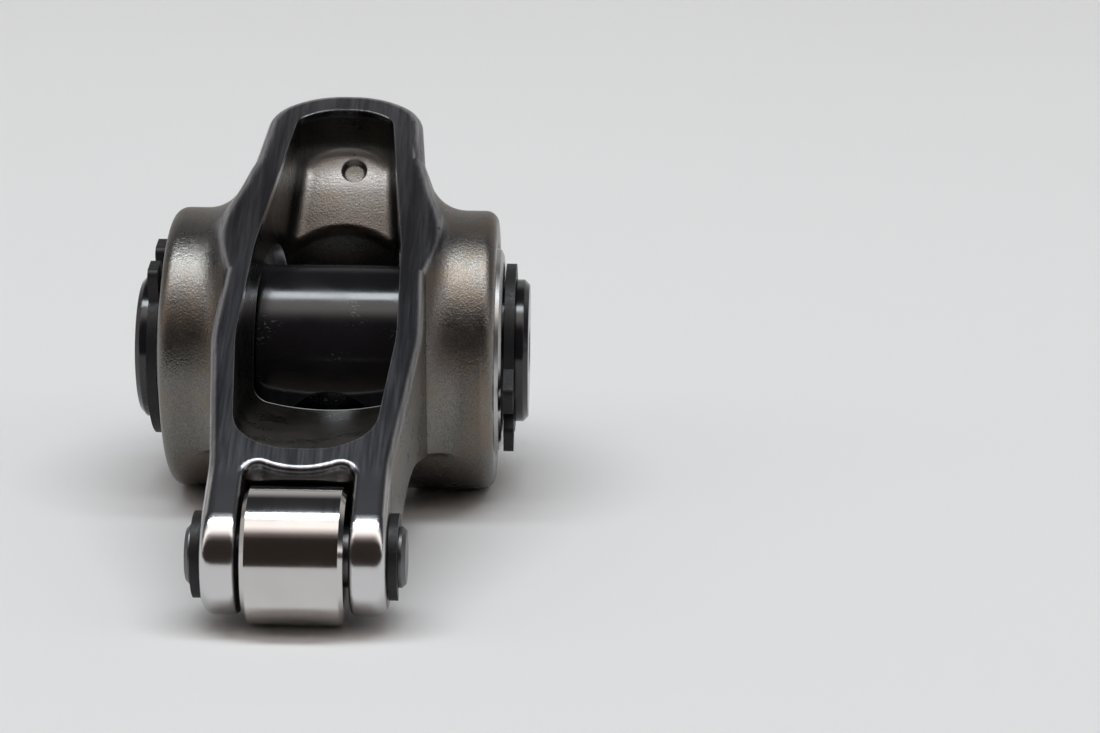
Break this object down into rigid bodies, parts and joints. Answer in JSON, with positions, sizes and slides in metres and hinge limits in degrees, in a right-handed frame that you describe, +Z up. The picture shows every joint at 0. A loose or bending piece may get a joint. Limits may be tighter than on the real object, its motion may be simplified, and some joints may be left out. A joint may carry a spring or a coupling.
{
  "type": "roller rocker arm with needle roller trunnion",
  "caption": "Stud-mounted valve rocker arm with a tip roller, pivoting on a trunnion shaft in two drawn-cup needle roller bearings.",
  "frame": {"origin": "middle of the trunnion, on its axis and halfway between the two bosses", "axes": "+X along the trunnion to its right-hand end, -Y towards the tip roller, +Y towards the pushrod nose, +Z up as the arm lies on its two bosses and its tip roller"},
  "size_m": [0.0388, 0.0686, 0.0365],
  "materials": {
    "cast_body": "investment-cast stainless steel, bead blasted, with a satin ground rim and polished ears",
    "seat_steel": "hardened steel, ground",
    "cup_steel": "bright drawn bearing steel",
    "cage_steel": "plain pressed steel",
    "needle_steel": "ground bearing steel",
    "trunnion_black": "ground steel with a semi-gloss black oxide",
    "ring_black": "spring steel, black phosphate",
    "roller_steel": "hardened steel, polished",
    "axle_steel": "ground steel, plain ends"
  },
  "bodies": {
    "rocker": {"rocker_body": "cast_body", "pushrod_seat": "seat_steel", "roller_axle": "axle_steel", "axle_clip_right": "ring_black", "axle_clip_left": "ring_black", "drawn_cup_right": "cup_steel", "drawn_cup_left": "cup_steel"},
    "trunnion": {"trunnion": "trunnion_black", "snap_ring_right": "ring_black", "snap_ring_left": "ring_black"},
    "cage_right": {"needle_cage_right": "cage_steel"},
    "cage_left": {"needle_cage_left": "cage_steel"},
    "tip_roller": {"tip_roller": "roller_steel"},
    "needle_right_01": {"needle_right_01": "needle_steel"},
    "needle_right_02": {"needle_right_02": "needle_steel"},
    "needle_right_03": {"needle_right_03": "needle_steel"},
    "needle_right_04": {"needle_right_04": "needle_steel"},
    "needle_right_05": {"needle_right_05": "needle_steel"},
    "needle_right_06": {"needle_right_06": "needle_steel"},
    "needle_right_07": {"needle_right_07": "needle_steel"},
    "needle_right_08": {"needle_right_08": "needle_steel"},
    "needle_right_09": {"needle_right_09": "needle_steel"},
    "needle_right_10": {"needle_right_10": "needle_steel"},
    "needle_right_11": {"needle_right_11": "needle_steel"},
    "needle_right_12": {"needle_right_12": "needle_steel"},
    "needle_right_13": {"needle_right_13": "needle_steel"},
    "needle_right_14": {"needle_right_14": "needle_steel"},
    "needle_left_01": {"needle_left_01": "needle_steel"},
    "needle_left_02": {"needle_left_02": "needle_steel"},
    "needle_left_03": {"needle_left_03": "needle_steel"},
    "needle_left_04": {"needle_left_04": "needle_steel"},
    "needle_left_05": {"needle_left_05": "needle_steel"},
    "needle_left_06": {"needle_left_06": "needle_steel"},
    "needle_left_07": {"needle_left_07": "needle_steel"},
    "needle_left_08": {"needle_left_08": "needle_steel"},
    "needle_left_09": {"needle_left_09": "needle_steel"},
    "needle_left_10": {"needle_left_10": "needle_steel"},
    "needle_left_11": {"needle_left_11": "needle_steel"},
    "needle_left_12": {"needle_left_12": "needle_steel"},
    "needle_left_13": {"needle_left_13": "needle_steel"},
    "needle_left_14": {"needle_left_14": "needle_steel"}
  },
  "joints": [
    {"name": "trunnion_spin", "type": "hinge", "parent": "rocker", "child": "trunnion", "pos_m": [0, 0, 0], "axis": [1, 0, 0], "continuous": true},
    {"name": "cage_right_travel", "type": "hinge", "parent": "rocker", "child": "cage_right", "pos_m": [0, 0, 0], "axis": [1, 0, 0], "continuous": true},
    {"name": "cage_left_travel", "type": "hinge", "parent": "rocker", "child": "cage_left", "pos_m": [0, 0, 0], "axis": [1, 0, 0], "continuous": true},
    {"name": "roller_spin", "type": "hinge", "parent": "rocker", "child": "tip_roller", "pos_m": [0, -0.04115, -0.0079], "axis": [1, 0, 0], "continuous": true},
    {"name": "needle_right_01_spin", "type": "hinge", "parent": "cage_right", "child": "needle_right_01", "pos_m": [0.0125, 0, 0.00817], "axis": [1, 0, 0], "continuous": true},
    {"name": "needle_right_02_spin", "type": "hinge", "parent": "cage_right", "child": "needle_right_02", "pos_m": [0.0125, -0.00354, 0.00736], "axis": [1, 0, 0], "continuous": true},
    {"name": "needle_right_03_spin", "type": "hinge", "parent": "cage_right", "child": "needle_right_03", "pos_m": [0.0125, -0.00638, 0.00509], "axis": [1, 0, 0], "continuous": true},
    {"name": "needle_right_04_spin", "type": "hinge", "parent": "cage_right", "child": "needle_right_04", "pos_m": [0.0125, -0.00796, 0.00182], "axis": [1, 0, 0], "continuous": true},
    {"name": "needle_right_05_spin", "type": "hinge", "parent": "cage_right", "child": "needle_right_05", "pos_m": [0.0125, -0.00796, -0.00182], "axis": [1, 0, 0], "continuous": true},
    {"name": "needle_right_06_spin", "type": "hinge", "parent": "cage_right", "child": "needle_right_06", "pos_m": [0.0125, -0.00638, -0.00509], "axis": [1, 0, 0], "continuous": true},
    {"name": "needle_right_07_spin", "type": "hinge", "parent": "cage_right", "child": "needle_right_07", "pos_m": [0.0125, -0.00354, -0.00736], "axis": [1, 0, 0], "continuous": true},
    {"name": "needle_right_08_spin", "type": "hinge", "parent": "cage_right", "child": "needle_right_08", "pos_m": [0.0125, 0, -0.00817], "axis": [1, 0, 0], "continuous": true},
    {"name": "needle_right_09_spin", "type": "hinge", "parent": "cage_right", "child": "needle_right_09", "pos_m": [0.0125, 0.00354, -0.00736], "axis": [1, 0, 0], "continuous": true},
    {"name": "needle_right_10_spin", "type": "hinge", "parent": "cage_right", "child": "needle_right_10", "pos_m": [0.0125, 0.00638, -0.00509], "axis": [1, 0, 0], "continuous": true},
    {"name": "needle_right_11_spin", "type": "hinge", "parent": "cage_right", "child": "needle_right_11", "pos_m": [0.0125, 0.00796, -0.00182], "axis": [1, 0, 0], "continuous": true},
    {"name": "needle_right_12_spin", "type": "hinge", "parent": "cage_right", "child": "needle_right_12", "pos_m": [0.0125, 0.00796, 0.00182], "axis": [1, 0, 0], "continuous": true},
    {"name": "needle_right_13_spin", "type": "hinge", "parent": "cage_right", "child": "needle_right_13", "pos_m": [0.0125, 0.00638, 0.00509], "axis": [1, 0, 0], "continuous": true},
    {"name": "needle_right_14_spin", "type": "hinge", "parent": "cage_right", "child": "needle_right_14", "pos_m": [0.0125, 0.00354, 0.00736], "axis": [1, 0, 0], "continuous": true},
    {"name": "needle_left_01_spin", "type": "hinge", "parent": "cage_left", "child": "needle_left_01", "pos_m": [-0.0125, 0, 0.00817], "axis": [1, 0, 0], "continuous": true},
    {"name": "needle_left_02_spin", "type": "hinge", "parent": "cage_left", "child": "needle_left_02", "pos_m": [-0.0125, -0.00354, 0.00736], "axis": [1, 0, 0], "continuous": true},
    {"name": "needle_left_03_spin", "type": "hinge", "parent": "cage_left", "child": "needle_left_03", "pos_m": [-0.0125, -0.00638, 0.00509], "axis": [1, 0, 0], "continuous": true},
    {"name": "needle_left_04_spin", "type": "hinge", "parent": "cage_left", "child": "needle_left_04", "pos_m": [-0.0125, -0.00796, 0.00182], "axis": [1, 0, 0], "continuous": true},
    {"name": "needle_left_05_spin", "type": "hinge", "parent": "cage_left", "child": "needle_left_05", "pos_m": [-0.0125, -0.00796, -0.00182], "axis": [1, 0, 0], "continuous": true},
    {"name": "needle_left_06_spin", "type": "hinge", "parent": "cage_left", "child": "needle_left_06", "pos_m": [-0.0125, -0.00638, -0.00509], "axis": [1, 0, 0], "continuous": true},
    {"name": "needle_left_07_spin", "type": "hinge", "parent": "cage_left", "child": "needle_left_07", "pos_m": [-0.0125, -0.00354, -0.00736], "axis": [1, 0, 0], "continuous": true},
    {"name": "needle_left_08_spin", "type": "hinge", "parent": "cage_left", "child": "needle_left_08", "pos_m": [-0.0125, 0, -0.00817], "axis": [1, 0, 0], "continuous": true},
    {"name": "needle_left_09_spin", "type": "hinge", "parent": "cage_left", "child": "needle_left_09", "pos_m": [-0.0125, 0.00354, -0.00736], "axis": [1, 0, 0], "continuous": true},
    {"name": "needle_left_10_spin", "type": "hinge", "parent": "cage_left", "child": "needle_left_10", "pos_m": [-0.0125, 0.00638, -0.00509], "axis": [1, 0, 0], "continuous": true},
    {"name": "needle_left_11_spin", "type": "hinge", "parent": "cage_left", "child": "needle_left_11", "pos_m": [-0.0125, 0.00796, -0.00182], "axis": [1, 0, 0], "continuous": true},
    {"name": "needle_left_12_spin", "type": "hinge", "parent": "cage_left", "child": "needle_left_12", "pos_m": [-0.0125, 0.00796, 0.00182], "axis": [1, 0, 0], "continuous": true},
    {"name": "needle_left_13_spin", "type": "hinge", "parent": "cage_left", "child": "needle_left_13", "pos_m": [-0.0125, 0.00638, 0.00509], "axis": [1, 0, 0], "continuous": true},
    {"name": "needle_left_14_spin", "type": "hinge", "parent": "cage_left", "child": "needle_left_14", "pos_m": [-0.0125, 0.00354, 0.00736], "axis": [1, 0, 0], "continuous": true}
  ],
  "couplings": [
    {"joint": "cage_right_travel", "follows": "trunnion_spin", "ratio": 0.43742},
    {"joint": "cage_left_travel", "follows": "trunnion_spin", "ratio": 0.43742},
    {"joint": "needle_right_01_spin", "follows": "trunnion_spin", "ratio": -4.0515},
    {"joint": "needle_right_02_spin", "follows": "trunnion_spin", "ratio": -4.0515},
    {"joint": "needle_right_03_spin", "follows": "trunnion_spin", "ratio": -4.0515},
    {"joint": "needle_right_04_spin", "follows": "trunnion_spin", "ratio": -4.0515},
    {"joint": "needle_right_05_spin", "follows": "trunnion_spin", "ratio": -4.0515},
    {"joint": "needle_right_06_spin", "follows": "trunnion_spin", "ratio": -4.0515},
    {"joint": "needle_right_07_spin", "follows": "trunnion_spin", "ratio": -4.0515},
    {"joint": "needle_right_08_spin", "follows": "trunnion_spin", "ratio": -4.0515},
    {"joint": "needle_right_09_spin", "follows": "trunnion_spin", "ratio": -4.0515},
    {"joint": "needle_right_10_spin", "follows": "trunnion_spin", "ratio": -4.0515},
    {"joint": "needle_right_11_spin", "follows": "trunnion_spin", "ratio": -4.0515},
    {"joint": "needle_right_12_spin", "follows": "trunnion_spin", "ratio": -4.0515},
    {"joint": "needle_right_13_spin", "follows": "trunnion_spin", "ratio": -4.0515},
    {"joint": "needle_right_14_spin", "follows": "trunnion_spin", "ratio": -4.0515},
    {"joint": "needle_left_01_spin", "follows": "trunnion_spin", "ratio": -4.0515},
    {"joint": "needle_left_02_spin", "follows": "trunnion_spin", "ratio": -4.0515},
    {"joint": "needle_left_03_spin", "follows": "trunnion_spin", "ratio": -4.0515},
    {"joint": "needle_left_04_spin", "follows": "trunnion_spin", "ratio": -4.0515},
    {"joint": "needle_left_05_spin", "follows": "trunnion_spin", "ratio": -4.0515},
    {"joint": "needle_left_06_spin", "follows": "trunnion_spin", "ratio": -4.0515},
    {"joint": "needle_left_07_spin", "follows": "trunnion_spin", "ratio": -4.0515},
    {"joint": "needle_left_08_spin", "follows": "trunnion_spin", "ratio": -4.0515},
    {"joint": "needle_left_09_spin", "follows": "trunnion_spin", "ratio": -4.0515},
    {"joint": "needle_left_10_spin", "follows": "trunnion_spin", "ratio": -4.0515},
    {"joint": "needle_left_11_spin", "follows": "trunnion_spin", "ratio": -4.0515},
    {"joint": "needle_left_12_spin", "follows": "trunnion_spin", "ratio": -4.0515},
    {"joint": "needle_left_13_spin", "follows": "trunnion_spin", "ratio": -4.0515},
    {"joint": "needle_left_14_spin", "follows": "trunnion_spin", "ratio": -4.0515}
  ]
}
